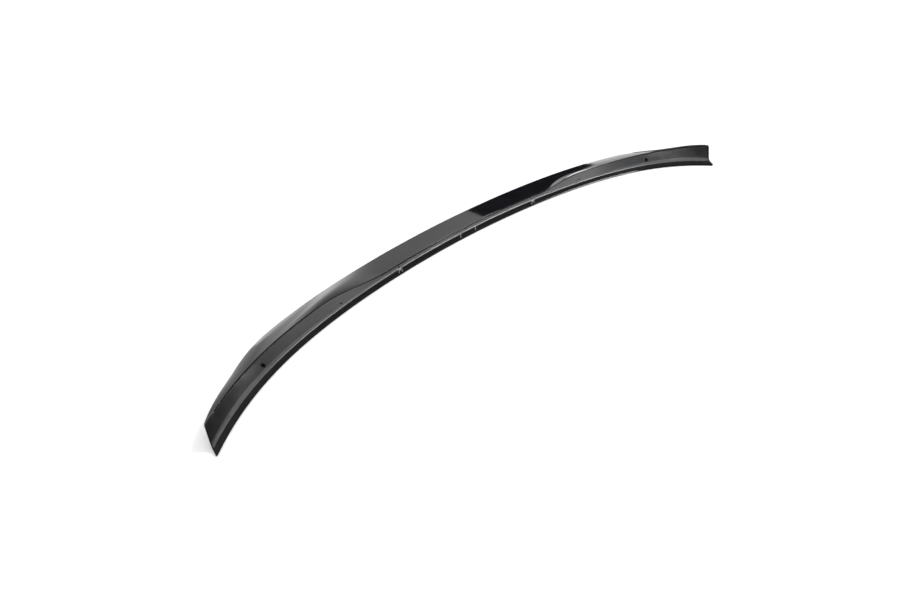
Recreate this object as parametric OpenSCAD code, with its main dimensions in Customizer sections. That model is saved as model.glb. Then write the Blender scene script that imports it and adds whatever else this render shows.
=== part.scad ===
// Rear spoiler for a car's boot lid: one long, slim moulding, bowed in plan.
// It lies upside down on its two long edges, with the mounting face upwards.
// X runs along its length, Y from the front edge back to the tail, Z up.

/* [Overall] */
// Length over the two front end corners
length = 1200; // [900:10:1500]
// How far the middle of the front edge lies behind its ends
bow = 158.5; // [60:0.5:200]
// Share of the bow that comes in over the last stretch before each end
end_sweep = 0.38; // [0:0.01:0.6]
// How far the upper end corners lean in towards the middle
end_lean = 6; // [0:0.5:16]
// Height of each end, from the front edge up to the crease
end_height = 43.5; // [34:0.5:52]
// Radius of the two corners of each end, as seen from above
corner_r = 3.5; // [2:0.5:5]

/* [Front band] */
// Height of the band under the ridge, in the middle
band_height = 13.5; // [10:0.5:15]
// How far the ridge is set back from the front edge, in the middle
band_setback = 5; // [4:0.5:7]
// Height of the band at the ends
band_height_end = 10; // [8:0.5:14]
// Setback of the ridge at the ends
band_setback_end = 15.5; // [10:0.5:17]
// Radius of the rounded lip along the front edge
front_edge_r = 2.2; // [1.6:0.1:2.8]
// How far the band's wall stands behind the middle of that lip
lip_step = 0.7; // [0.4:0.1:1.2]
// Width of the flat land under each long edge, which it lies on
rest_land = 1.2; // [0.8:0.1:2]
// Length of the soft bend along the ridge, to each side
ridge_soft = 1.8; // [1:0.1:3]

/* [Mounting face] */
// Front to back width of the mounting strip between the shoulders
strip_width = 8.5; // [7:0.5:12]
// Rise of that strip from the ridge to the crease
strip_rise = 0.6; // [0:0.1:2]
// Distance of the crease behind the front edge, at the shoulders
pad_reach = 38.5; // [32:0.5:42]
// Distance of the crease behind the front edge, at the ends
pad_reach_end = 26; // [24:0.5:29]
// How late the ends rise: a higher power keeps the wings low for longer
rise_power = 2.3; // [1.8:0.1:3]
// Place of the shoulder's inner end, from the middle
shoulder_in = 190; // [150:5:230]
// Place of the shoulder's outer end, from the middle
shoulder_out = 334; // [300:2:380]
// Width of the parting groove along the crease
groove_width = 1.2; // [0.8:0.1:1.6]
// Depth of the parting groove
groove_depth = 0.8; // [0.4:0.1:1.2]

/* [Tail] */
// Front edge to tail edge, in the middle
tail_reach = 68; // [62:0.5:74]
// Front edge to tail edge in the wings, where it is furthest
tail_reach_wing = 76; // [68:0.5:80]
// How late the tail widens towards the wings, as a power
tail_spread = 2; // [1.2:0.1:2.4]
// How far the tail edge lies below the crease, in the wings
tail_drop = 18; // [14:0.5:20]
// Length before each end over which the tail edge runs in
tail_run = 148; // [120:2:170]
// Half the length over which that run begins softly
tail_soft = 55; // [30:5:80]
// Length before each end over which the tail edge lifts off
lift_run = 84; // [70:2:120]
// Radius of the tail's edge
tail_edge_r = 1.6; // [1:0.1:2]
// Thickness of the moulding along the top of the ends, front to back
end_wall = 4.5; // [4:0.1:7]
// Crown of the tail's gloss face in the wings
crown = 2.3; // [0.5:0.1:3]
// Place where that crown begins, from the middle
crown_in = 100; // [60:5:150]
// Place where that crown is full, from the middle
crown_out = 420; // [350:2:430]
// Hollow of the tail's gloss face in the middle
hollow = 0.3; // [0:0.1:1]
// Height of the arch of the face underneath, in the middle
arch = 5; // [3:0.5:6]

/* [Fixings] */
// Distance between the two stud holes in the wings
stud_spacing = 950; // [900:2:980]
// Diameter of a stud hole
stud_hole_d = 7; // [5:0.5:8]
// Depth of a stud hole
stud_hole_depth = 9; // [6:0.5:10]
// Distance of the stud holes behind the front edge
stud_setback = 17; // [15:0.5:20]
// Distance between the two locating holes at the shoulders
pilot_spacing = 608; // [580:2:640]
// Diameter of a locating hole
pilot_hole_d = 4; // [3:0.5:5]
// Depth of a locating hole
pilot_hole_depth = 5; // [3:0.5:6]
// Distance of the locating holes behind the front edge
pilot_setback = 13; // [12:0.5:18]
// Distance between the two moulded loops on the front band
loop_spacing = 342; // [300:2:380]
// Outer width of a loop
loop_width = 9; // [7:0.5:10]
// Wall of a loop
loop_wall = 2; // [1.4:0.1:2.4]
// Distance between the two locating ribs beside the middle
rib_spacing = 38; // [24:2:60]
// Width of a locating rib
rib_width = 2; // [1.2:0.1:3]
// How far ribs and loops stand out of the band
lug_proud = 1.2; // [0.6:0.1:1.6]
// Width of the slots across the mounting strip
slot_width = 2.4; // [1.6:0.1:4]
// Depth of those slots
slot_depth = 2.4; // [1.6:0.1:3]

/* [Quality] */
// Number of sections from the middle to each end
sections = 44; // [24:2:60]

/* [Hidden] */
half = length / 2;
over = 1;
nose_steps = 5;
tail_steps = 5;
face_steps = 7;
pad_steps = 3;
under_steps = 8;
gloss_black = [0.07, 0.07, 0.08];
places = [for (i = [-sections:sections]) half * sin(90 * i / sections)];
depth = tail_reach + max([for (x = places) sweep(x) - draw_in(x)]);

// Small helpers
function mix(a, b, k) = a + (b - a) * k;
function ease(a, b, v) = let (u = min(max((v - a) / (b - a), 0), 1)) u * u * (3 - 2 * u);
function unit(v) = v / norm(v);
function left_of(v) = [-v[1], v[0]];
function arc(c, r, a0, a1, steps) =
    [for (i = [0:steps]) let (a = mix(a0, a1, i / steps)) c + r * [cos(a), sin(a)]];
function bend(p, q, r, steps) =
    [for (i = [0:steps]) let (k = i / steps) mix(mix(p, q, k), mix(q, r, k), k)];

// Keeps a height at the floor or above it, with a soft start over s
function settle(h, s) = h < -s ? 0 : h > s ? h : (h + s) * (h + s) / (4 * s);

// Lines of the spoiler at a distance x from the middle: [setback from the front edge, height]
function part_of_half(x) = abs(x) / half;
function sweep(x) =
    let (t = part_of_half(x))
    bow * ((1 - end_sweep) * pow(t, 2) + end_sweep * pow(t, 6));
function front_y(x) = depth / 2 - tail_reach - sweep(x);
function shoulder(x) = ease(shoulder_in, shoulder_out, abs(x));
function run_in(x) = settle(abs(x) - (half - tail_run), tail_soft) / tail_run;
function lift(x) = ease(half - lift_run, half, abs(x));
function ridge(x) =
    let (t = part_of_half(x))
    [mix(band_setback, band_setback_end, pow(t, 4)), mix(band_height, band_height_end, pow(t, 6))];
function wing_crease(x) =
    [mix(pad_reach, pad_reach_end, (abs(x) - shoulder_out) / (half - shoulder_out)),
     end_height * pow(part_of_half(x), rise_power)];
function crease(x) = mix(ridge(x) + [strip_width, strip_rise], wing_crease(x), shoulder(x));
function tail_y(x) =
    let (spread = pow(abs(x) / (half - tail_run), tail_spread))
    mix(mix(tail_reach, tail_reach_wing, spread), crease(x)[0] + end_wall, run_in(x));
function tail_z(x) = settle(crease(x)[1] - mix(tail_drop, 2 * tail_edge_r, lift(x)), 3);
function bulge(x) = mix(-hollow, crown * (1 - 0.6 * run_in(x)), ease(crown_in, crown_out, abs(x)));

// Height of the mounting face at a setback y
function pad_z(x, y) =
    let (r = ridge(x), c = crease(x))
    mix(r[1], c[1], (y - r[0]) / (c[0] - r[0]));

// How far the corners of the ends draw in, front and back
function draw_in(x) =
    let (past = max(abs(x) - half + corner_r, 0))
    corner_r - sqrt(pow(corner_r, 2) - pow(past, 2));

// Outline of one section, from the front edge over the top to the tail, and back underneath
function outline(x) =
    let (foot = front_edge_r * [1, 2] + [lip_step, -lip_step / 2])
    let (r = ridge(x), c = crease(x), band = unit(r - foot), pad = unit(c - r), out = left_of(pad))
    let (tail = [tail_y(x) - tail_edge_r, tail_z(x) + tail_edge_r])
    let (chord = tail + [0, tail_edge_r] - c)
    let (peak = c + chord / 2 + 2 * bulge(x) * left_of(unit(chord)))
    let (fall = atan2(tail[1] + tail_edge_r - peak[1], tail[0] - peak[0]))
    let (nose = tail + tail_edge_r * [cos(90 + fall), sin(90 + fall)])
    let (turn = mix(-90, -5, lift(x)), round = [cos(turn), sin(turn)])
    let (land_front = [front_edge_r + rest_land, 0])
    let (land_back = tail + tail_edge_r * round - rest_land * left_of(round))
    let (under = mix([tail_reach / 2, 2 * arch], ridge(half) + [2 * end_wall, -7], pow(part_of_half(x), 4)))
    concat(
        arc([front_edge_r, front_edge_r], front_edge_r, 270, 95, nose_steps),
        [foot],
        bend(r - ridge_soft * band, r, r + ridge_soft * pad, 3),
        [for (i = [1:pad_steps])
            mix(r + ridge_soft * pad, c - groove_width * pad, i / pad_steps)],
        [c - groove_width * pad - groove_depth * out, c - 0.2 * groove_width * pad - groove_depth * out],
        bend(c, peak, nose, face_steps),
        [for (i = [1:tail_steps])
            let (a = mix(90 + fall, turn, i / tail_steps)) tail + tail_edge_r * [cos(a), sin(a)]],
        bend(land_back, under, land_front, under_steps)
    );

// Closed skin through a list of rings with equally many points
function skin_faces(rings, points) = concat(
    [[for (i = [points - 1:-1:0]) i]],
    [for (j = [0:rings - 2], i = [0:points - 1])
        let (a = j * points + i, b = j * points + (i + 1) % points)
        each [[a, b + points, a + points], [a, b, b + points]]],
    [[for (i = [0:points - 1]) (rings - 1) * points + i]]
);

// The moulding itself, before its holes and lugs
module body() {
    count = len(outline(0));
    rings = [for (x = places, p = outline(x))
        [x - end_lean * (x / half) * p[1] / end_height,
         front_y(x) + p[0] + draw_in(x) * (1 - 2 * p[0] / tail_y(x)), p[1]]];
    polyhedron(points = rings, faces = skin_faces(len(places), count));
}

// Blind round hole, straight down from the mounting face
module blind_hole(x, setback, d, deep) {
    mouth = pad_z(x, setback);
    translate([x, front_y(x) + setback, mouth - deep])
        cylinder(d = d, h = deep + d, $fn = 48);
}

// Slot across the mounting strip
module strip_slot(x) {
    r = ridge(x);
    translate([x - slot_width / 2, front_y(x) + r[0] + ridge_soft / 2, r[1] - slot_depth])
        cube([slot_width, crease(x)[0] - groove_width - r[0] - ridge_soft / 2, slot_depth + over]);
}

// Arched loop that stands out of the front band
module loop(x) {
    r = ridge(x);
    rise = r[1] - loop_width / 2 - over;
    translate([x, front_y(x) + r[0], 0])
        rotate([90, 0, 0])
            linear_extrude(r[0] / 2 + lug_proud) difference() {
                union() {
                    translate([0, rise]) circle(d = loop_width, $fn = 40);
                    translate([-loop_width / 2, over]) square([loop_width, rise - over]);
                }
                translate([0, rise]) circle(d = loop_width - 2 * loop_wall, $fn = 40);
                translate([-loop_width / 2 + loop_wall, 0]) square([loop_width - 2 * loop_wall, rise]);
            }
}

// Upright locating rib on the front band
module rib(x) {
    r = ridge(x);
    translate([x - rib_width / 2, front_y(x), 0])
        rotate([90, 0, 90])
            linear_extrude(rib_width)
                polygon([[1.5, over], [r[0] - lug_proud, r[1] - over], [r[0] + 2, r[1] - over], [4, over]]);
}

module spoiler() {
    color(gloss_black) difference() {
        union() {
            body();
            for (side = [-1, 1]) {
                loop(side * loop_spacing / 2);
                rib(side * rib_spacing / 2);
            }
        }
        for (side = [-1, 1]) {
            blind_hole(side * stud_spacing / 2, stud_setback, stud_hole_d, stud_hole_depth);
            blind_hole(side * pilot_spacing / 2, pilot_setback, pilot_hole_d, pilot_hole_depth);
            strip_slot(side * loop_spacing / 2);
        }
        strip_slot(0);
    }
}

spoiler();
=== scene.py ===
"""Looks of a slim rear spoiler for a boot lid, lying upside down in a white studio.

The spoiler is lofted from the same section as its solid, with finer steps, rounded edges and
a bead along the parting groove. Its finishes are satin plastic, darker on the band's wall and
in the groove, holes and slots as painted shade and lighter on the ridge as a painted highlight,
a lighter plastic on the loops and ribs, and gloss black paint.
"""

import math

import bmesh
import bpy
from bpy.props import FloatProperty, FloatVectorProperty, IntProperty, PointerProperty
from mathutils import Matrix, Vector


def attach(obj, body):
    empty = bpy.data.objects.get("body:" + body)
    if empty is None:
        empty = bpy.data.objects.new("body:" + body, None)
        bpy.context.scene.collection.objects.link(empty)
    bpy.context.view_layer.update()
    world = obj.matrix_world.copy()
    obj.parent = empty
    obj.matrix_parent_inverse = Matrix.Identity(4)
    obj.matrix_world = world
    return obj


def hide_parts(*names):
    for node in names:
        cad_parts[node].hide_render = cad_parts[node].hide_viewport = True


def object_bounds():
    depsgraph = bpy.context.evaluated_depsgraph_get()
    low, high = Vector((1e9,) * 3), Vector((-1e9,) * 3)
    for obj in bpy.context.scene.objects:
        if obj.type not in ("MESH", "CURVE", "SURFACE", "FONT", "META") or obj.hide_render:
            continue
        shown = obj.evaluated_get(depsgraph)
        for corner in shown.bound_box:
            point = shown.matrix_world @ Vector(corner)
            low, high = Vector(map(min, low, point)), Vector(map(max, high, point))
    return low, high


bl_info = {
    "name": "Boot Lid Spoiler",
    "version": (1, 0, 0),
    "blender": (4, 5, 0),
    "location": "3D View > Sidebar > Spoiler",
    "description": "Builds a bowed boot-lid spoiler with its satin and gloss finishes",
    "category": "Add Mesh",
}

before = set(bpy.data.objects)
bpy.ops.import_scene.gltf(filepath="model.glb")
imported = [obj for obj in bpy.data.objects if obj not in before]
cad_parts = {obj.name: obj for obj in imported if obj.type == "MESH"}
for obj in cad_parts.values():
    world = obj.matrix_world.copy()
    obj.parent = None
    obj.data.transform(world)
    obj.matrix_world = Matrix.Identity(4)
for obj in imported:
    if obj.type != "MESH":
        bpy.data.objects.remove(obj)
CAD_LOW, CAD_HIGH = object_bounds()
NODE = "spoiler"
BODY = "root"
MM = 0.001


def length_property(name, description, default):
    """A size in millimetres, held in metres."""
    return FloatProperty(name=name, description=description, default=default * MM, unit="LENGTH")


def color_property(name, description, *rgb):
    """An opaque colour."""
    return FloatVectorProperty(
        name=name, description=description, default=(*rgb, 1.0), subtype="COLOR", size=4,
        min=0, max=1)


class SpoilerShape(bpy.types.PropertyGroup):
    """Driving sizes of the moulding"""

    length: FloatProperty(
        name="Length", description="Length over the front end corners",
        default=CAD_HIGH.x - CAD_LOW.x, unit="LENGTH")
    end_height: length_property("End height", "Height of each end up to the crease", 43.5)
    bow: length_property("Bow", "How far the middle of the front edge lies behind its ends", 158.5)
    end_sweep: FloatProperty(
        name="End sweep", description="Share of the bow that comes in near the ends", default=0.38)
    end_lean: length_property("End lean", "How far the upper end corners lean in", 6)
    corner_r: length_property("Corner radius", "Radius of each end's corners, from above", 3.5)
    band_height: length_property("Band height", "Height of the front band in the middle", 13.5)
    band_setback: length_property("Band setback", "Setback of the ridge in the middle", 5)
    band_height_end: length_property("Band height, ends", "Height of the band at the ends", 10)
    band_setback_end: length_property(
        "Band setback, ends", "Setback of the ridge at the ends", 15.5)
    front_edge_r: length_property("Front lip radius", "Radius of the front edge's lip", 2.2)
    lip_step: length_property("Lip step", "Band's wall behind the middle of the front lip", 0.7)
    rest_land: length_property("Rest land", "Width of the land under each long edge", 1.2)
    ridge_soft: length_property(
        "Ridge softness", "Length of the bend on each side of the ridge", 1.8)
    strip_width: length_property("Strip width", "Width of the mounting strip in the middle", 8.5)
    strip_rise: length_property("Strip rise", "Rise of the strip from ridge to crease", 0.6)
    pad_reach: length_property(
        "Pad reach", "Crease behind the front edge, at the shoulders", 38.5)
    pad_reach_end: length_property(
        "Pad reach, ends", "Crease behind the front edge, at the ends", 26)
    rise_power: FloatProperty(name="Rise power", description="How late the ends rise", default=2.3)
    shoulder_in: length_property("Shoulder start", "Inner end of the shoulder", 190)
    shoulder_out: length_property("Shoulder stop", "Outer end of the shoulder", 334)
    groove_width: length_property(
        "Groove width", "Width of the parting groove with its rounded lips", 2.4)
    groove_depth: length_property("Groove depth", "Depth of the parting groove", 1.2)
    rim_roll: length_property("Rim roll", "Soft roll of the gloss face behind the crease", 0.8)
    end_rim: length_property("End rim", "Width of the dark rim along each end", 2)
    tail_reach: length_property("Tail reach", "Front edge to tail edge in the middle", 68)
    tail_reach_wing: length_property(
        "Tail reach, wings", "Front edge to tail edge in the wings", 76)
    tail_spread: FloatProperty(
        name="Tail spread", description="How late the tail widens", default=2)
    tail_drop: length_property("Tail drop", "Tail edge below the crease, in the wings", 18)
    tail_run: length_property(
        "Tail run", "Length over which the tail edge runs in before each end", 148)
    tail_soft: length_property("Tail softness", "Half the length over which that run begins", 55)
    lift_run: length_property(
        "Lift run", "Length over which the tail edge lifts off before each end", 84)
    tail_edge_r: length_property("Tail edge radius", "Radius of the tail's edge", 1.6)
    end_wall: length_property("End wall", "Thickness along the top of the ends", 4.5)
    crown: length_property("Crown", "Crown of the gloss face in the wings", 2.3)
    crown_in: length_property("Crown start", "Where that crown begins", 100)
    crown_out: length_property("Crown stop", "Where that crown is full", 420)
    hollow: length_property("Hollow", "Hollow of the gloss face in the middle", 0.3)
    arch: length_property("Arch", "Height of the arch underneath", 5)
    settle: length_property("Settle", "Height over which the tail edge comes to the floor", 3)
    sections: IntProperty(
        name="Sections", description="Sections from the middle to each end", default=220)


class SpoilerFixings(bpy.types.PropertyGroup):
    """Sizes of holes, slots, loops, ribs and the bead"""

    stud_spacing: length_property("Stud spacing", "Distance between the stud holes", 950)
    stud_hole_d: length_property("Stud hole", "Diameter of a stud hole", 7)
    stud_hole_depth: length_property("Stud depth", "Depth of a stud hole", 9)
    stud_setback: length_property("Stud setback", "Stud holes behind the front edge", 17)
    pilot_spacing: length_property("Locating spacing", "Distance between the locating holes", 608)
    pilot_hole_d: length_property("Locating hole", "Diameter of a locating hole", 4)
    pilot_hole_depth: length_property("Locating depth", "Depth of a locating hole", 5)
    pilot_setback: length_property("Locating setback", "Locating holes behind the front edge", 13)
    loop_spacing: length_property("Loop spacing", "Distance between the moulded loops", 342)
    loop_width: length_property("Loop width", "Outer width of a loop", 9)
    loop_wall: length_property("Loop wall", "Wall of a loop", 2)
    rib_spacing: length_property("Rib spacing", "Distance between the locating ribs", 38)
    rib_width: length_property("Rib width", "Width of a locating rib", 2)
    lug_proud: length_property("Lug height", "How far ribs and loops stand out of the band", 1.2)
    slot_width: length_property("Slot width", "Width of a slot across the strip", 2.4)
    slot_depth: length_property("Slot depth", "Depth of a slot across the strip", 2.4)
    bead_r: length_property("Bead radius", "Radius of the bead along the parting groove", 0.5)


class SpoilerFinish(bpy.types.PropertyGroup):
    """Colours and surfaces of the plastic and the paint"""

    satin_color: color_property(
        "Satin plastic", "Colour of the mounting face and the bead", 0.008, 0.0082, 0.009)
    satin_roughness: FloatProperty(
        name="Satin roughness", description="Roughness of the moulded plastic", default=0.4)
    satin_specular: FloatProperty(
        name="Satin specular", description="Specular level of the moulded plastic", default=0.44)
    # Painted shade: the wall plastic is a darker, nearly unreflecting copy of the satin plastic,
    # put on the band's wall, the groove floor, the holes and slots, and a rim along each end.
    wall_shade_color: color_property(
        "Wall plastic", "Colour of the plastic on the band and in groove, holes and slots",
        0.0095, 0.0095, 0.010)
    wall_shade_specular: FloatProperty(
        name="Wall specular", description="Specular level of that plastic", default=0.01)
    # Painted highlight: the ridge is made lighter than the satin plastic so that it shows as a
    # bright line.
    ridge_highlight_color: color_property("Ridge plastic", "Colour of the highlighted ridge", 0.02, 0.02, 0.021)
    # Loops and ribs are given a lighter plastic than the rest of the moulding.
    lug_color: color_property(
        "Lug plastic", "Colour of the scuffed loops and ribs", 0.1, 0.1, 0.103)
    ridge_specular: FloatProperty(
        name="Ridge specular", description="Specular level of ridge, loops and ribs", default=0.8)
    ridge_roughness: FloatProperty(
        name="Ridge roughness", description="Roughness of ridge, loops and ribs", default=0.4)
    grain: length_property("Grain", "Size of the moulded grain", 0.35)
    paint_color: color_property("Gloss paint", "Colour of the painted skin", 0.004, 0.004, 0.005)
    paint_roughness: FloatProperty(
        name="Paint roughness", description="Roughness of the paint", default=0.035)
    orange_peel: length_property("Orange peel", "Size of the ripple in the paint", 2.5)


class SpoilerStudio(bpy.types.PropertyGroup):
    """Camera, floor and lights"""

    camera_place: FloatVectorProperty(
        name="Camera", description="Place of the camera", subtype="TRANSLATION",
        default=(-0.6087, -0.68136, 0.7734))
    camera_heading: FloatProperty(
        name="Heading", description="Turn of the camera about the vertical",
        default=math.radians(-38.95), subtype="ANGLE")
    camera_tilt: FloatProperty(
        name="Tilt", description="Angle of the camera up from straight down",
        default=math.radians(44.06), subtype="ANGLE")
    focal_pixels: FloatProperty(
        name="Focal length", description="Focal length in pixels of the photograph",
        default=603.4)
    floor_color: color_property("Floor", "Colour of the floor", 0.6, 0.6, 0.6)
    surround: FloatProperty(
        name="Surround", description="Light of the white surround", default=1.0)
    studio_r: FloatProperty(
        name="Studio radius", description="Distance of the cards and lights", default=7.0,
        unit="LENGTH")


def mix(a, b, k):
    """The value a share k of the way from a to b."""
    return a + (b - a) * k


def ease(a, b, value):
    """0 below a, 1 above b, and smooth between them."""
    u = min(max((value - a) / (b - a), 0.0), 1.0)
    return u * u * (3 - 2 * u)


def settle_down(value, soft):
    """The value where it is above 0 and 0 elsewhere, with a soft start over soft to each side."""
    if value < -soft:
        return 0.0
    return value if value > soft else (value + soft) ** 2 / (4 * soft)


def left_of(v):
    """A section vector turned a quarter to the left."""
    return Vector((-v.y, v.x))


def polar(radius, degrees):
    """A section vector of this length and direction."""
    angle = math.radians(degrees)
    return radius * Vector((math.cos(angle), math.sin(angle)))


def arc(centre, radius, start, stop, steps):
    """Points along an arc, from start to stop degrees."""
    return [centre + polar(radius, mix(start, stop, i / steps)) for i in range(steps + 1)]


def bend(p, q, r, steps):
    """Points along a soft curve from p to r, drawn towards q."""
    shares = [i / steps for i in range(steps + 1)]
    return [mix(mix(p, q, k), mix(q, r, k), k) for k in shares]


def degrees_of(v):
    """Direction of a section vector."""
    return math.degrees(math.atan2(v.y, v.x))


# Powers of the distance from the middle by which the shape changes towards the ends
BOW_POWER, SWEEP_POWER = 2, 6
SETBACK_POWER, HEIGHT_POWER, UNDER_POWER = 4, 6, 4
# Share of the crown that goes where the tail edge runs in
CROWN_LOSS = 0.6
# How much softer the ridge gets towards the ends, as a share of its softness
RIDGE_SOFTENING = 1.8
# Rounding of the groove's lips and lean of its back wall, as shares of its width
GROOVE_LIP, GROOVE_LEAN = 0.3, 0.2
# Directions round the front lip in degrees: its underside, where the paint stops, its back
LIP_UNDER, LIP_PAINT_STOP, LIP_BACK = 270, 146, 95
# Direction where the rounding of the tail edge stops: on the floor, and lifted off it
EDGE_ON_FLOOR, EDGE_LIFTED = -90, -5
# Point of the gloss face where the roll behind the crease stops
ROLL_STOP = 2
# How far below the ridge the face underneath is drawn at the ends
UNDER_DROP = 7 * MM
# Steps along each curve of the section
CURVE_STEPS = {
    "lip": 11, "lip_back": 5, "ridge": 8, "pad": 7, "groove_lip": 3, "roll": 6, "face": 26,
    "tail_edge": 9, "under": 24,
}


class Section:
    """Lines of the moulding at a distance x from the middle."""

    def __init__(self, shape, x):
        self.s = shape
        self.x = x
        self.half = shape.length / 2
        self.t = abs(x) / self.half
        run = abs(x) - self.half + shape.tail_run
        self.run_in = settle_down(run, shape.tail_soft) / shape.tail_run
        self.lift = ease(self.half - shape.lift_run, self.half, abs(x))
        self.ridge = Vector((
            mix(shape.band_setback, shape.band_setback_end, self.t ** SETBACK_POWER),
            mix(shape.band_height, shape.band_height_end, self.t ** HEIGHT_POWER)))
        self.crease = mix(
            self.ridge + Vector((shape.strip_width, shape.strip_rise)), self.wing_crease(),
            ease(shape.shoulder_in, shape.shoulder_out, abs(x)))

    def wing_crease(self):
        """Place of the crease in the wings."""
        s = self.s
        out = (abs(self.x) - s.shoulder_out) / (self.half - s.shoulder_out)
        return Vector((
            mix(s.pad_reach, s.pad_reach_end, out), s.end_height * self.t ** s.rise_power))

    def front(self):
        """Place of the front edge along Y."""
        s = self.s
        drop = (1 - s.end_sweep) * self.t ** BOW_POWER + s.end_sweep * self.t ** SWEEP_POWER
        return CAD_HIGH.y - s.tail_reach - s.bow * drop

    def tail(self):
        """Tail edge: its setback and its height above the floor."""
        s = self.s
        spread = (abs(self.x) / (self.half - s.tail_run)) ** s.tail_spread
        reach = mix(s.tail_reach, s.tail_reach_wing, spread)
        drop = mix(s.tail_drop, 2 * s.tail_edge_r, self.lift)
        return Vector((mix(reach, self.crease.x + s.end_wall, self.run_in),
                       settle_down(self.crease.y - drop, s.settle)))

    def bulge(self):
        """Crown of the gloss face, or its hollow where this is below 0."""
        s = self.s
        crown = s.crown * (1 - CROWN_LOSS * self.run_in)
        return mix(-s.hollow, crown, ease(s.crown_in, s.crown_out, abs(self.x)))

    def pad_height(self, setback):
        """Height of the mounting face at a setback."""
        share = (setback - self.ridge.x) / (self.crease.x - self.ridge.x)
        return mix(self.ridge.y, self.crease.y, share)

    def place(self, point):
        """A section point in space."""
        s = self.s
        lean = s.end_lean * self.x / self.half * point.y / s.end_height
        past = max(abs(self.x) - self.half + s.corner_r, 0.0)
        draw_in = s.corner_r - math.sqrt(max(s.corner_r ** 2 - past ** 2, 0.0))
        side = 1 - 2 * point.x / self.tail().x
        return Vector((self.x - lean, self.front() + point.x + draw_in * side, point.y))

    def stretches(self):
        """Outline of the section as (finish, points), front edge first and round over the top."""
        s, steps = self.s, CURVE_STEPS
        ridge, crease = self.ridge, self.crease
        lip_centre = Vector((s.front_edge_r, s.front_edge_r))
        land_front = Vector((s.front_edge_r + s.rest_land, 0))
        foot = Vector((s.front_edge_r + s.lip_step, 2 * s.front_edge_r - s.lip_step / 2))
        band, pad = (ridge - foot).normalized(), (crease - ridge).normalized()
        out = left_of(pad)
        soft = s.ridge_soft * (1 + RIDGE_SOFTENING * self.t ** 2)
        band_stop, pad_start = ridge - soft * band, ridge + soft * pad

        lip = GROOVE_LIP * s.groove_width
        groove_front = crease - s.groove_width * pad
        pad_stop = groove_front - lip * pad
        groove_floor = [
            groove_front - s.groove_depth * out,
            crease - GROOVE_LEAN * s.groove_width * pad - s.groove_depth * out]

        tail_edge = self.tail() + Vector((-s.tail_edge_r, s.tail_edge_r))
        tail_top = tail_edge + Vector((0, s.tail_edge_r))
        chord = tail_top - crease
        peak = crease + chord / 2 + 2 * self.bulge() * left_of(chord.normalized())
        fall = degrees_of(tail_top - peak)
        nose = tail_edge + polar(s.tail_edge_r, 90 + fall)
        face = bend(crease, peak, nose, steps["face"])
        roll = s.rim_roll * (1 - self.run_in)

        turn = mix(EDGE_ON_FLOOR, EDGE_LIFTED, self.lift)
        land_back = tail_edge + polar(s.tail_edge_r, turn) - s.rest_land * left_of(polar(1, turn))
        end_ridge = Vector((s.band_setback_end, s.band_height_end))
        under = mix(Vector((s.tail_reach / 2, 2 * s.arch)),
                    end_ridge + Vector((2 * s.end_wall, -UNDER_DROP)), self.t ** UNDER_POWER)
        return [
            ("paint", arc(lip_centre, s.front_edge_r, LIP_UNDER, LIP_PAINT_STOP, steps["lip"])),
            # The lip's back and the band's wall take the wall finish, which is painted shade.
            ("wall", arc(lip_centre, s.front_edge_r, LIP_PAINT_STOP, LIP_BACK,
                         steps["lip_back"])[1:]),
            ("wall", [foot, mix(foot, band_stop, 0.5), band_stop]),
            # The ridge takes the ridge finish, which is a painted highlight.
            ("ridge", bend(band_stop, ridge, pad_start, steps["ridge"])[1:]),
            ("satin", [mix(pad_start, pad_stop, i / steps["pad"])
                       for i in range(1, steps["pad"] + 1)]),
            ("satin", bend(pad_stop, groove_front, groove_front - lip * out,
                           steps["groove_lip"])[1:]),
            # The groove floor takes the wall finish: painted shade in the groove.
            ("wall", groove_floor),
            ("paint", [crease - lip * out]),
            ("paint", bend(crease, crease + roll * pad, face[ROLL_STOP], steps["roll"])),
            ("paint", face[ROLL_STOP + 1:]),
            ("paint", arc(tail_edge, s.tail_edge_r, 90 + fall, turn, steps["tail_edge"])[1:]),
            ("paint", bend(land_back, under, land_front, steps["under"])),
        ]


def section_places(shape):
    """Distances from the middle of all sections, closer together towards the ends."""
    n = shape.sections
    return [shape.length / 2 * math.sin(math.radians(90 * i / n)) for i in range(-n, n + 1)]


def mesh_from(bm, name):
    """Mesh made from a bmesh, which is freed."""
    mesh = bpy.data.meshes.new(name)
    bm.to_mesh(mesh)
    bm.free()
    return mesh


def solid_from(bm, name):
    """Mesh made from a closed bmesh, with its faces outwards."""
    bmesh.ops.recalc_face_normals(bm, faces=bm.faces)
    return mesh_from(bm, name)


def loft_moulding(shape, order):
    """Mesh of the moulding before its holes; order names the finish of each material slot."""
    bm = bmesh.new()
    places = section_places(shape)
    rings = []
    for x in places:
        section = Section(shape, x)
        points = [p for finish, stretch in section.stretches() for p in stretch]
        rings.append([bm.verts.new(section.place(p)) for p in points])
    marks = [finish for finish, stretch in Section(shape, 0).stretches() for p in stretch]
    count = len(marks)
    for ring, following, place, next_place in zip(rings, rings[1:], places, places[1:]):
        rim = min(abs(place), abs(next_place)) > shape.length / 2 - shape.end_rim
        for i in range(count):
            j = (i + 1) % count
            face = bm.faces.new((ring[i], following[i], following[j], ring[j]))
            # Along each end, satin and ridge faces take the wall finish: a rim of painted shade.
            finish = "wall" if rim and marks[j] in ("satin", "ridge") else marks[j]
            face.material_index = order.index(finish)
            face.smooth = True
    caps = [bm.faces.new(rings[0]), bm.faces.new(reversed(rings[-1]))]
    weight = bm.edges.layers.float.new("bevel_weight_edge")
    for cap in caps:
        cap.material_index = order.index("paint")
        for edge in cap.edges:
            edge[weight] = 1.0
    return solid_from(bm, "moulding")


def new_object(name, mesh, *materials):
    """An object at the origin with these materials."""
    piece = bpy.data.objects.new(name, mesh)
    bpy.context.scene.collection.objects.link(piece)
    for material in materials:
        mesh.materials.append(material)
    return piece


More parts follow.
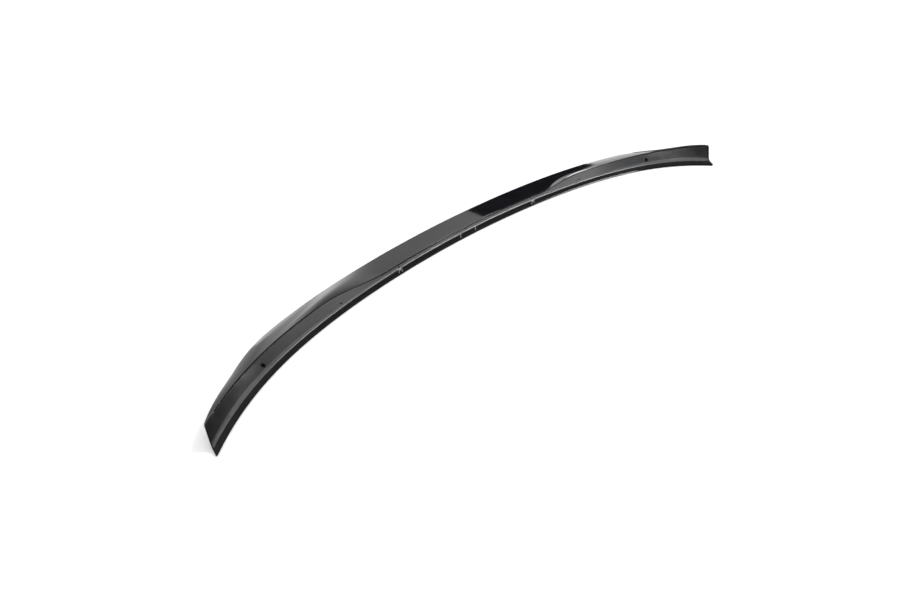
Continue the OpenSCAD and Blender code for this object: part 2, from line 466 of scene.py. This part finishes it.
def shown_mesh(piece):
    """The mesh that the piece's modifiers give."""
    bpy.context.view_layer.update()
    depsgraph = bpy.context.evaluated_depsgraph_get()
    return bpy.data.meshes.new_from_object(piece.evaluated_get(depsgraph))


def settle_mesh(piece):
    """Turns what the modifiers give into the piece's own mesh and removes them."""
    result = shown_mesh(piece)
    piece.modifiers.clear()
    old, piece.data = piece.data, result
    bpy.data.meshes.remove(old)
    return piece


def give_back(piece):
    """Hangs the piece on the body's empty and hides the CAD part that it stands for."""
    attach(piece, BODY)
    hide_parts(NODE)


# Range in which most values of a noise pattern lie
PATTERN_LOW, PATTERN_HIGH = 0.3, 0.7
# Clouds in the plastic: size in grains, lightening, and how much smoother and rougher they are
FLOW_SIZE, FLOW_LIFT, FLOW_SMOOTHER, FLOW_ROUGHER = 40, 1.35, 0.03, 0.04
# Moulded grain: height in metres and strength
GRAIN_HEIGHT, GRAIN_STRENGTH = 0.00006, 0.5
# Haze on the paint: size in ripples, lightening, and how much rougher it is
HAZE_SIZE, HAZE_LIFT, HAZE_ROUGHER = 22, 1.5, 0.03
# Ripple in the paint: height in metres and strength
RIPPLE_HEIGHT, RIPPLE_STRENGTH = 0.00001, 0.35
PAINT_IOR = 1.5


def node_link(tree, source, target):
    """Links two sockets given as (node, name)."""
    tree.links.new(source[0].outputs[source[1]], target[0].inputs[target[1]])


def material_base(name):
    """A new material with its node tree, Principled node and Object coordinates."""
    material = bpy.data.materials.new(name)
    material.use_nodes = True
    tree = material.node_tree
    return material, tree, tree.nodes["Principled BSDF"], tree.nodes.new("ShaderNodeTexCoord")


def noise_node(tree, places, size, detail):
    """A noise pattern with features of this size in metres."""
    noise = tree.nodes.new("ShaderNodeTexNoise")
    noise.inputs["Scale"].default_value = 1 / size
    noise.inputs["Detail"].default_value = detail
    node_link(tree, (places, "Object"), (noise, "Vector"))
    return noise


def ranged(tree, pattern, low, high):
    """The pattern's values spread from low to high."""
    spread = tree.nodes.new("ShaderNodeMapRange")
    spread.inputs["From Min"].default_value = PATTERN_LOW
    spread.inputs["From Max"].default_value = PATTERN_HIGH
    spread.inputs["To Min"].default_value = low
    spread.inputs["To Max"].default_value = high
    node_link(tree, (pattern, "Fac"), (spread, "Value"))
    return spread


def add_clouds(tree, shader, pattern, color, lift, low, high):
    """Lightens the shader's colour where the pattern is high, and varies its roughness."""
    blend = tree.nodes.new("ShaderNodeMix")
    blend.data_type = "RGBA"
    blend.inputs["A"].default_value = color
    blend.inputs["B"].default_value = [min(c * lift, 1.0) for c in color[:3]] + [1.0]
    node_link(tree, (ranged(tree, pattern, 0.0, 1.0), "Result"), (blend, "Factor"))
    node_link(tree, (blend, "Result"), (shader, "Base Color"))
    node_link(tree, (ranged(tree, pattern, low, high), "Result"), (shader, "Roughness"))


def add_relief(tree, shader, pattern, height, strength):
    """Gives the shader a bump of this height in metres."""
    bump = tree.nodes.new("ShaderNodeBump")
    bump.inputs["Strength"].default_value = strength
    bump.inputs["Distance"].default_value = height
    node_link(tree, (pattern, "Fac"), (bump, "Height"))
    node_link(tree, (bump, "Normal"), (shader, "Normal"))


def moulded_plastic(grain_size, name, color, specular, roughness):
    """Moulded black plastic with a fine grain and faint flow clouds."""
    material, tree, shader, places = material_base(name)
    grain = noise_node(tree, places, grain_size, detail=3)
    clouds = noise_node(tree, places, FLOW_SIZE * grain_size, detail=2)
    add_clouds(tree, shader, clouds, color, FLOW_LIFT, roughness - FLOW_SMOOTHER,
               roughness + FLOW_ROUGHER)
    add_relief(tree, shader, grain, GRAIN_HEIGHT, GRAIN_STRENGTH)
    shader.inputs["Specular IOR Level"].default_value = specular
    return material


def gloss_paint(ripple_size, name, color, roughness):
    """Gloss black paint with a faint ripple and a trace of haze."""
    material, tree, shader, places = material_base(name)
    ripple = noise_node(tree, places, ripple_size, detail=1)
    haze = noise_node(tree, places, HAZE_SIZE * ripple_size, detail=2)
    add_clouds(tree, shader, haze, color, HAZE_LIFT, roughness, roughness + HAZE_ROUGHER)
    add_relief(tree, shader, ripple, RIPPLE_HEIGHT, RIPPLE_STRENGTH)
    shader.inputs["IOR"].default_value = PAINT_IOR
    return material


def finishes():
    """The material of each finish, made once."""
    f = bpy.context.scene.spoiler_finish
    satin, wall = (f.satin_specular, f.satin_roughness), (f.wall_shade_specular, f.satin_roughness)
    ridge = (f.ridge_specular, f.ridge_roughness)
    wanted = {
        "satin": (moulded_plastic, f.grain, "satin_plastic", f.satin_color, *satin),
        # The wall finish is painted shade and the ridge finish a painted highlight: darker and
        # lighter copies of the moulded plastic.
        "wall": (moulded_plastic, f.grain, "wall_plastic", f.wall_shade_color, *wall),
        "ridge": (moulded_plastic, f.grain, "rubbed_plastic", f.ridge_highlight_color, *ridge),
        "lug": (moulded_plastic, f.grain, "scuffed_plastic", f.lug_color, *ridge),
        "paint": (gloss_paint, f.orange_peel, "gloss_paint", f.paint_color, f.paint_roughness),
    }
    return {finish: bpy.data.materials.get(name) or make(size, name, *look)
            for finish, (make, size, name, *look) in wanted.items()}


def geometry_tree(name, *sizes):
    """A Geometry Nodes tree whose inputs are a geometry, (name, kind) sizes and a material."""
    tree = bpy.data.node_groups.new(name, "GeometryNodeTree")
    for label, kind in (("Geometry", "Geometry"), *sizes, ("Material", "Material")):
        tree.interface.new_socket(label, in_out="INPUT", socket_type="NodeSocket" + kind)
    tree.interface.new_socket("Geometry", in_out="OUTPUT", socket_type="NodeSocketGeometry")
    return tree, tree.nodes.new("NodeGroupInput")


def end_tree(tree, group_in, source):
    """Ends a Geometry Nodes tree: real geometry from the source, with the material on it."""
    realized = tree.nodes.new("GeometryNodeRealizeInstances")
    painted = tree.nodes.new("GeometryNodeSetMaterial")
    group_out = tree.nodes.new("NodeGroupOutput")
    node_link(tree, source, (realized, "Geometry"))
    node_link(tree, (realized, "Geometry"), (painted, "Geometry"))
    node_link(tree, (group_in, "Material"), (painted, "Material"))
    node_link(tree, (painted, "Geometry"), (group_out, "Geometry"))
    return tree


def paired_tree(name):
    """Geometry Nodes tree that adds to a right-hand shape its mirror image on the left."""
    tree, group_in = geometry_tree(name, ("Spacing", "Float"))
    offset = tree.nodes.new("ShaderNodeCombineXYZ")
    halved = tree.nodes.new("ShaderNodeMath")
    halved.operation = "MULTIPLY"
    halved.inputs[1].default_value = 0.5
    moved = tree.nodes.new("GeometryNodeTransform")
    mirrored = tree.nodes.new("GeometryNodeTransform")
    mirrored.inputs["Scale"].default_value = (-1, 1, 1)
    turned = tree.nodes.new("GeometryNodeFlipFaces")
    joined = tree.nodes.new("GeometryNodeJoinGeometry")
    node_link(tree, (group_in, "Spacing"), (halved, 0))
    node_link(tree, (halved, 0), (offset, "X"))
    node_link(tree, (group_in, "Geometry"), (moved, "Geometry"))
    node_link(tree, (offset, "Vector"), (moved, "Translation"))
    node_link(tree, (moved, "Geometry"), (mirrored, "Geometry"))
    node_link(tree, (mirrored, "Geometry"), (turned, "Mesh"))
    node_link(tree, (turned, "Mesh"), (joined, "Geometry"))
    node_link(tree, (moved, "Geometry"), (joined, "Geometry"))
    return end_tree(tree, group_in, (joined, "Geometry"))


def bead_tree(name):
    """Geometry Nodes tree that sweeps a round bead along a curve."""
    tree, group_in = geometry_tree(name, ("Radius", "Float"), ("Sides", "Int"))
    circle = tree.nodes.new("GeometryNodeCurvePrimitiveCircle")
    sweep = tree.nodes.new("GeometryNodeCurveToMesh")
    sweep.inputs["Fill Caps"].default_value = True
    node_link(tree, (group_in, "Radius"), (circle, "Radius"))
    node_link(tree, (group_in, "Sides"), (circle, "Resolution"))
    node_link(tree, (group_in, "Geometry"), (sweep, "Curve"))
    node_link(tree, (circle, "Curve"), (sweep, "Profile Curve"))
    return end_tree(tree, group_in, (sweep, "Mesh"))


def set_inputs(modifier, **values):
    """Sets a Geometry Nodes modifier's inputs through their identifiers."""
    for item in modifier.node_group.interface.items_tree:
        key = item.name.lower()
        if item.in_out == "INPUT" and key in values:
            modifier[item.identifier] = values[key]


def pair_of(name, mesh, spacing, material):
    """The mesh and its mirror image, this far apart, as one object."""
    piece = new_object(name, mesh)
    modifier = piece.modifiers.new("pair", "NODES")
    modifier.node_group = bpy.data.node_groups.get("mirrored_pair") or paired_tree("mirrored_pair")
    set_inputs(modifier, spacing=spacing, material=material)
    return settle_mesh(piece)


# Sides of a hole, steps of a loop's arch, and how far a slot's cutter reaches past the face
HOLE_SIDES, ARCH_STEPS, CUT_PAST = 48, 20, 1 * MM
# Top of loops and ribs below the ridge, and height of a loop's and of a rib's foot
LUG_BELOW_RIDGE, LOOP_FOOT, RIB_FOOT = 1 * MM, 0.4 * MM, 1 * MM
# Front and back of a rib's foot behind the front edge, and how far its top goes in at the ridge
RIB_FRONT, RIB_BACK, RIB_SUNK = 1.5 * MM, 4 * MM, 2 * MM


def prism(points, thickness, place):
    """Closed prism over a flat outline, with place() giving each point its place in space."""
    bm = bmesh.new()
    near = [bm.verts.new(place(p, 0.0)) for p in points]
    far = [bm.verts.new(place(p, thickness)) for p in points]
    bm.faces.new(near)
    bm.faces.new(reversed(far))
    for i in range(len(points)):
        j = (i + 1) % len(points)
        bm.faces.new((near[j], near[i], far[i], far[j]))
    return solid_from(bm, "prism")


def prism_across(section, width, *outline):
    """Prism of this width, centred on x = 0, over an outline in the section's plane."""
    points = [Vector(p) for p in outline]
    return prism(points, width, lambda p, d: Vector((d - width / 2, section.front() + p.x, p.y)))


def round_hole(shape, spacing, setback, diameter, depth):
    """Cutter for a blind round hole, centred on x = 0, at the place it has on the right."""
    section = Section(shape, spacing / 2)
    mouth = section.pad_height(setback)
    centre = Vector((0, section.front() + setback, mouth - depth / 2 + diameter / 2))
    bm = bmesh.new()
    bmesh.ops.create_cone(
        bm, segments=HOLE_SIDES, radius1=diameter / 2, radius2=diameter / 2,
        depth=depth + diameter, cap_ends=True, matrix=Matrix.Translation(centre))
    return solid_from(bm, "hole")


def strip_slot(shape, fixings, x):
    """Cutter for a slot across the mounting strip, centred on x = 0."""
    section = Section(shape, x)
    start = section.ridge.x + shape.ridge_soft / 2
    stop = section.crease.x - shape.groove_width
    low, high = section.ridge.y - fixings.slot_depth, section.ridge.y + CUT_PAST
    return prism_across(
        section, fixings.slot_width, (start, low), (stop, low), (stop, high), (start, high))


def loop_mesh(shape, fixings):
    """Arched loop that stands out of the front band, centred on x = 0."""
    section = Section(shape, fixings.loop_spacing / 2)
    outer, inner = fixings.loop_width / 2, fixings.loop_width / 2 - fixings.loop_wall
    top = Vector((0, section.ridge.y - outer - LUG_BELOW_RIDGE))
    outline = arc(top, outer, 0, 180, ARCH_STEPS)
    outline += [Vector((-outer, LOOP_FOOT)), Vector((-inner, LOOP_FOOT))]
    outline += arc(top, inner, 180, 0, ARCH_STEPS)
    outline += [Vector((inner, LOOP_FOOT)), Vector((outer, LOOP_FOOT))]
    back = section.front() + section.ridge.x
    thickness = section.ridge.x / 2 + fixings.lug_proud
    return prism(outline, thickness, lambda p, d: Vector((p.x, back - d, p.y)))


def rib_mesh(shape, fixings):
    """Upright locating rib on the front band, centred on x = 0."""
    section = Section(shape, fixings.rib_spacing / 2)
    ridge, high = section.ridge, section.ridge.y - LUG_BELOW_RIDGE
    return prism_across(
        section, fixings.rib_width, (RIB_FRONT, RIB_FOOT), (ridge.x - fixings.lug_proud, high),
        (ridge.x + RIB_SUNK, high), (RIB_BACK, RIB_FOOT))


def join(pieces, name):
    """Joins pieces into the first one."""
    first = pieces[0]
    with bpy.context.temp_override(
            active_object=first, object=first, selected_objects=pieces,
            selected_editable_objects=pieces):
        bpy.ops.object.join()
    first.name = first.data.name = name
    return first


# Finishes of the moulding in the order of its material slots
MOULDING_FINISHES = ("satin", "wall", "ridge", "paint")
# Rounding of the end edges, and the angle past which an edge stays sharp
END_BEVEL, END_BEVEL_STEPS = 0.5 * MM, 2
SHARP_ANGLE = math.radians(38)
# The bead: its sides, how far its middle lies before the groove and under the face as shares
# of its radius, and the sections that it leaves out at each end
BEAD_SIDES, BEAD_BEFORE, BEAD_SUNK, BEAD_SKIP = 10, 0.4, 0.7, 6


class SPOILER_OT_moulding(bpy.types.Operator):
    """Builds the moulding with its holes, slots and finishes"""

    bl_idname = "spoiler.moulding"
    bl_label = "Moulding"

    def execute(self, context):
        shape, fixings = context.scene.spoiler_shape, context.scene.spoiler_fixings
        made = finishes()
        wall = made["wall"]
        body = new_object("spoiler_moulding", loft_moulding(shape, MOULDING_FINISHES),
                          *(made[finish] for finish in MOULDING_FINISHES))
        bevel = body.modifiers.new("end_edges", "BEVEL")
        bevel.limit_method = "WEIGHT"
        bevel.width = END_BEVEL
        bevel.segments = END_BEVEL_STEPS
        studs = round_hole(shape, fixings.stud_spacing, fixings.stud_setback,
                           fixings.stud_hole_d, fixings.stud_hole_depth)
        pilots = round_hole(shape, fixings.pilot_spacing, fixings.pilot_setback,
                            fixings.pilot_hole_d, fixings.pilot_hole_depth)
        slots = strip_slot(shape, fixings, fixings.loop_spacing / 2)
        # The holes and slots take the wall finish from their cutters: painted shade inside them.
        cutters = [
            pair_of("stud_holes", studs, fixings.stud_spacing, wall),
            pair_of("locating_holes", pilots, fixings.pilot_spacing, wall),
            pair_of("loop_slots", slots, fixings.loop_spacing, wall),
            new_object("middle_slot", strip_slot(shape, fixings, 0), wall),
        ]
        for cutter in cutters:
            cut = body.modifiers.new(cutter.name, "BOOLEAN")
            cut.object = cutter
            cut.solver = "EXACT"
            cut.material_mode = "TRANSFER"
        settle_mesh(body)
        for cutter in cutters:
            bpy.data.objects.remove(cutter)
        body.data.set_sharp_from_angle(angle=SHARP_ANGLE)
        give_back(body)
        return {"FINISHED"}


class SPOILER_OT_lugs(bpy.types.Operator):
    """Builds the loops and locating ribs on the front band"""

    bl_idname = "spoiler.lugs"
    bl_label = "Loops and ribs"

    def execute(self, context):
        shape, fixings = context.scene.spoiler_shape, context.scene.spoiler_fixings
        paler = finishes()["lug"]
        give_back(join([
            pair_of("band_loops", loop_mesh(shape, fixings), fixings.loop_spacing, paler),
            pair_of("band_ribs", rib_mesh(shape, fixings), fixings.rib_spacing, paler),
        ], "band_lugs"))
        return {"FINISHED"}


class SPOILER_OT_bead(bpy.types.Operator):
    """Builds the bead that runs along the parting groove"""

    bl_idname = "spoiler.bead"
    bl_label = "Groove bead"

    def execute(self, context):
        shape, fixings = context.scene.spoiler_shape, context.scene.spoiler_fixings
        path = bmesh.new()
        last = None
        for x in section_places(shape)[BEAD_SKIP:-BEAD_SKIP]:
            section = Section(shape, x)
            pad = (section.crease - section.ridge).normalized()
            middle = section.crease - (shape.groove_width + BEAD_BEFORE * fixings.bead_r) * pad
            middle -= BEAD_SUNK * fixings.bead_r * left_of(pad)
            vertex = path.verts.new(section.place(middle))
            if last:
                path.edges.new((last, vertex))
            last = vertex
        bead = new_object("groove_bead", mesh_from(path, "groove_bead"))
        bpy.context.view_layer.objects.active = bead
        with bpy.context.temp_override(
                active_object=bead, object=bead, selected_objects=[bead],
                selected_editable_objects=[bead]):
            bpy.ops.object.convert(target="CURVE")
        sweep = bead.modifiers.new("bead", "NODES")
        sweep.node_group = bead_tree("swept_bead")
        set_inputs(sweep, radius=fixings.bead_r, sides=BEAD_SIDES, material=finishes()["satin"])
        swept = shown_mesh(bead)
        bpy.data.objects.remove(bead)
        swept.shade_smooth()
        give_back(new_object("groove_bead", swept))
        return {"FINISHED"}


# Cards on the studio's sphere: name, corners as (azimuth, elevation) in degrees in order round
# the card, strength (0 is a black flag), "gloss" for a card that only reflections see or "light"
# for one that only lights, and how many degrees its edges fade over. Each card hangs a little
# in front of the one before it.
SKY_CARDS = [
    ("black_flag", ((43.6, -1), (50.4, -1), (60.3, 30), (43.6, 30)), 0.0, "gloss", 0),
    ("side_softbox", ((36.4, -1), (43.5, -1), (43.5, 30), (36.4, 30)), 2.4, "gloss", 0.3),
    ("end_card", ((22, -1), (36.4, -1), (36.4, 30), (22, 30)), 0.2, "gloss", 0),
    ("rear_softbox", ((36, 30.5), (60, 30.5), (60, 54), (36, 54)), 3.3, "gloss", 0),
    ("crease_strip", ((38, 30.5), (60, 30.5), (60, 36), (38, 36)), 11.0, "gloss", 1),
    ("glow_wide", ((70, -8), (90, -8), (90, 38), (70, 38)), 1.7, "gloss", 5),
    ("glow_mid", ((72, -8), (85.5, -8), (85.5, 31), (72, 31)), 2.3, "gloss", 4),
    ("glow_core", ((73, -8), (82.5, -8), (82.5, 25), (73, 25)), 4.2, "gloss", 4),
    ("front_flag", ((-180, -1), (-20, -1), (-20, 60), (-180, 60)), 0.0, "gloss", 0),
    ("lip_strip", ((-76, -3), (-61.3, -3), (-61.3, 15), (-76, 15)), 50.0, "gloss", 1),
    ("overhead_softbox", ((-180, 62), (180, 62), (180, 89), (-180, 89)), 4.0, "light", 0),
    ("shadow_key", ((-22, 53), (-14, 53), (-14, 61), (-22, 61)), 120.0, "light", 0),
]
# How much nearer each card hangs than the one before it, in studio radii
SKY_CARD_GAP = 0.004

# Level cards that only reflections see: name, height and corners (x, y) in metres, strength,
# and how many metres their edges fade over
FLOOR_CARD_Z = 0.0004
LEVEL_CARDS = [
    ("far_floor_flag", FLOOR_CARD_Z,
     ((0.20, 0.108), (0.378, 0.079), (1.478, 1.079), (1.10, 1.158)), 0.0, 0),
    ("far_floor_glow", FLOOR_CARD_Z,
     ((0.392, 0.076), (0.485, 0.036), (1.485, 0.783), (1.392, 1.005)), 1.6, 0),
    ("end_floor_card", FLOOR_CARD_Z,
     ((0.490, 0.036), (0.64, -0.10), (1.60, 0.50), (1.490, 0.78)), 0.25, 0),
    ("near_floor_glow", FLOOR_CARD_Z,
     ((-0.47, 0.048), (-0.26, 0.100), (-0.05, 1.6), (-0.27, 1.6)), 2.0, 0),
    ("near_end_card", FLOOR_CARD_Z,
     ((-0.64, -0.07), (-0.475, 0.046), (-0.275, 1.6), (-1.0, 1.6)), 0.9, 0),
    ("ridge_strip", 0.3,
     ((0.1, -0.25), (0.42, -0.28), (0.42, -0.22), (0.1, -0.19)), 130.0, 0.02),
]

# Black flags that follow the front edge: name, and for each of its two long edges how far it
# lies in front of the spoiler and how high, in metres
FRONT_FLAGS = [
    ("front_floor_flag", (0.5 * MM, FLOOR_CARD_Z), (2.0, FLOOR_CARD_Z)),
    ("front_fence", (0.12, 0.036), (0.12, 0.11)),
]
# Such a flag takes its shape from one of this many sections
FLAG_EVERY = 4
# Squares along each side of a card, and where its fade starts: a little outside its edge, so
# that a card that doesn't fade covers fully up to there
CARD_STEPS, FADE_START = 24, -0.001


def sky_direction(azimuth, elevation):
    """Unit vector of a direction in degrees; azimuth turns from +X to +Y."""
    a, e = math.radians(azimuth), math.radians(elevation)
    return Vector((math.cos(a) * math.cos(e), math.sin(a) * math.cos(e), math.sin(e)))


def card_grid(corners, soft):
    """A four-sided grid, with how much it covers at each point: less at its edges."""
    a, b, c, d = corners
    wide, high = (b - a).length, (d - a).length
    bm = bmesh.new()
    cover = bm.verts.layers.float.new("cover")
    shares = [i / CARD_STEPS for i in range(CARD_STEPS + 1)]
    rows = []
    for v in shares:
        row = [bm.verts.new(mix(mix(a, b, u), mix(d, c, u), v).to_3d()) for u in shares]
        for u, vert in zip(shares, row):
            vert[cover] = (ease(FADE_START, soft, wide * min(u, 1 - u))
                           * ease(FADE_START, soft, high * min(v, 1 - v)))
        rows.append(row)
    for below, above in zip(rows, rows[1:]):
        for i in range(CARD_STEPS):
            bm.faces.new((below[i], below[i + 1], above[i + 1], above[i]))
    return bm


def card_from(name, bm, strength, rays):
    """The object of a card, with its glow and the rays that see it."""
    material = bpy.data.materials.new(name)
    material.use_nodes = True
    tree = material.node_tree
    tree.nodes.remove(tree.nodes["Principled BSDF"])
    cover = tree.nodes.new("ShaderNodeAttribute")
    cover.attribute_name = "cover"
    clear = tree.nodes.new("ShaderNodeBsdfTransparent")
    glow = tree.nodes.new("ShaderNodeEmission")
    glow.inputs["Strength"].default_value = strength
    blend = tree.nodes.new("ShaderNodeMixShader")
    node_link(tree, (cover, "Fac"), (blend, 0))
    node_link(tree, (clear, "BSDF"), (blend, 1))
    node_link(tree, (glow, "Emission"), (blend, 2))
    node_link(tree, (blend, "Shader"), (tree.nodes["Material Output"], "Surface"))
    card = new_object(name, mesh_from(bm, name), material)
    card.visible_camera = False
    card.visible_glossy = rays == "gloss"
    card.visible_diffuse = card.visible_shadow = rays == "light"


def sky_card(radius, name, corners, strength, rays, soft):
    """A card on a sphere of this radius round the origin."""
    bm = card_grid([Vector(p) for p in corners], soft)
    for vert in bm.verts:
        vert.co = radius * sky_direction(vert.co.x, vert.co.y)
    card_from(name, bm, strength, rays)


def level_card(name, height, corners, strength, soft):
    """A level card at this height."""
    card_from(name, card_grid([Vector((*p, height)) for p in corners], soft), strength, "gloss")


def front_flag(shape, name, *edges):
    """A black flag along the front edge; edges gives the distance and height of each side."""
    bm = bmesh.new()
    cover = bm.verts.layers.float.new("cover")
    rows = []
    for x in section_places(shape)[::FLAG_EVERY]:
        y = Section(shape, x).front()
        rows.append([bm.verts.new((x, y - gap, height)) for gap, height in edges])
        for vert in rows[-1]:
            vert[cover] = 1.0
    for (a, b), (c, d) in zip(rows, rows[1:]):
        bm.faces.new((a, b, d, c))
    card_from(name, bm, 0.0, "gloss")


# Width of the photograph and shift of its middle in pixels, and the sensor in millimetres
PHOTO_WIDTH, PHOTO_SHIFT, SENSOR_WIDTH = 920, 0.5, 36
CLIP_START, CLIP_END = 0.05, 100
# The floor: its radius in studio radii, its sides and its roughness
FLOOR_REACH, FLOOR_SIDES, FLOOR_ROUGHNESS = 3, 96, 0.9


def add_camera(studio):
    """The camera at the photograph's place."""
    data = bpy.data.cameras.new("photo_view")
    data.sensor_width = SENSOR_WIDTH
    data.lens = studio.focal_pixels * data.sensor_width / PHOTO_WIDTH
    data.shift_x, data.shift_y = -PHOTO_SHIFT / PHOTO_WIDTH, PHOTO_SHIFT / PHOTO_WIDTH
    data.clip_start, data.clip_end = CLIP_START, CLIP_END
    camera = bpy.data.objects.new("photo_view", data)
    camera.location = studio.camera_place
    camera.rotation_euler = (studio.camera_tilt, 0, studio.camera_heading)
    bpy.context.scene.collection.objects.link(camera)
    bpy.context.scene.camera = camera


def add_floor(studio):
    """The matt pale floor."""
    bm = bmesh.new()
    bmesh.ops.create_circle(
        bm, cap_ends=True, segments=FLOOR_SIDES, radius=FLOOR_REACH * studio.studio_r)
    material = bpy.data.materials.new("studio_floor")
    material.use_nodes = True
    shader = material.node_tree.nodes["Principled BSDF"]
    shader.inputs["Base Color"].default_value = studio.floor_color
    shader.inputs["Roughness"].default_value = FLOOR_ROUGHNESS
    shader.inputs["Specular IOR Level"].default_value = 0.0
    new_object("studio_floor", mesh_from(bm, "studio_floor"), material)


def add_surround(studio):
    """The white surround."""
    world = bpy.data.worlds.new("white_surround")
    bpy.context.scene.world = world
    world.use_nodes = True
    sky = world.node_tree.nodes["Background"]
    sky.inputs["Color"].default_value = (1, 1, 1, 1)
    sky.inputs["Strength"].default_value = studio.surround


class SPOILER_OT_studio(bpy.types.Operator):
    """Sets up the camera, the floor, the white surround and the cards"""

    bl_idname = "spoiler.studio"
    bl_label = "Studio"

    def execute(self, context):
        shape, studio = context.scene.spoiler_shape, context.scene.spoiler_studio
        add_camera(studio)
        add_floor(studio)
        add_surround(studio)
        for i, card in enumerate(SKY_CARDS):
            sky_card(studio.studio_r * (1 - SKY_CARD_GAP * i), *card)
        for card in LEVEL_CARDS:
            level_card(*card)
        for flag in FRONT_FLAGS:
            front_flag(shape, *flag)
        context.scene.view_settings.view_transform = "Standard"
        return {"FINISHED"}


class SPOILER_PT_panel(bpy.types.Panel):
    """Lists the steps that build the spoiler, and its settings"""

    bl_idname = "SPOILER_PT_panel"
    bl_label = "Boot Lid Spoiler"
    bl_space_type = "VIEW_3D"
    bl_region_type = "UI"
    bl_category = "Spoiler"

    def draw(self, context):
        for step in STEPS:
            self.layout.operator(step.bl_idname)
        for name in GROUPS:
            box = self.layout.box()
            settings = getattr(context.scene, name)
            for key in settings.__annotations__:
                box.prop(settings, key)


STEPS = (SPOILER_OT_studio, SPOILER_OT_moulding, SPOILER_OT_lugs, SPOILER_OT_bead)
GROUPS = {
    "spoiler_shape": SpoilerShape,
    "spoiler_fixings": SpoilerFixings,
    "spoiler_finish": SpoilerFinish,
    "spoiler_studio": SpoilerStudio,
}
CLASSES = (*GROUPS.values(), *STEPS, SPOILER_PT_panel)


def register():
    """Registers the classes and hangs their settings on the scene."""
    for cls in CLASSES:
        bpy.utils.register_class(cls)
    for name, group in GROUPS.items():
        setattr(bpy.types.Scene, name, PointerProperty(type=group))


def unregister():
    """Undoes register."""
    for name in GROUPS:
        delattr(bpy.types.Scene, name)
    for cls in reversed(CLASSES):
        bpy.utils.unregister_class(cls)


def main():
    """Runs the steps in order."""
    register()
    bpy.ops.spoiler.studio()
    bpy.ops.spoiler.moulding()
    bpy.ops.spoiler.lugs()
    bpy.ops.spoiler.bead()


if __name__ == "__main__":
    main()
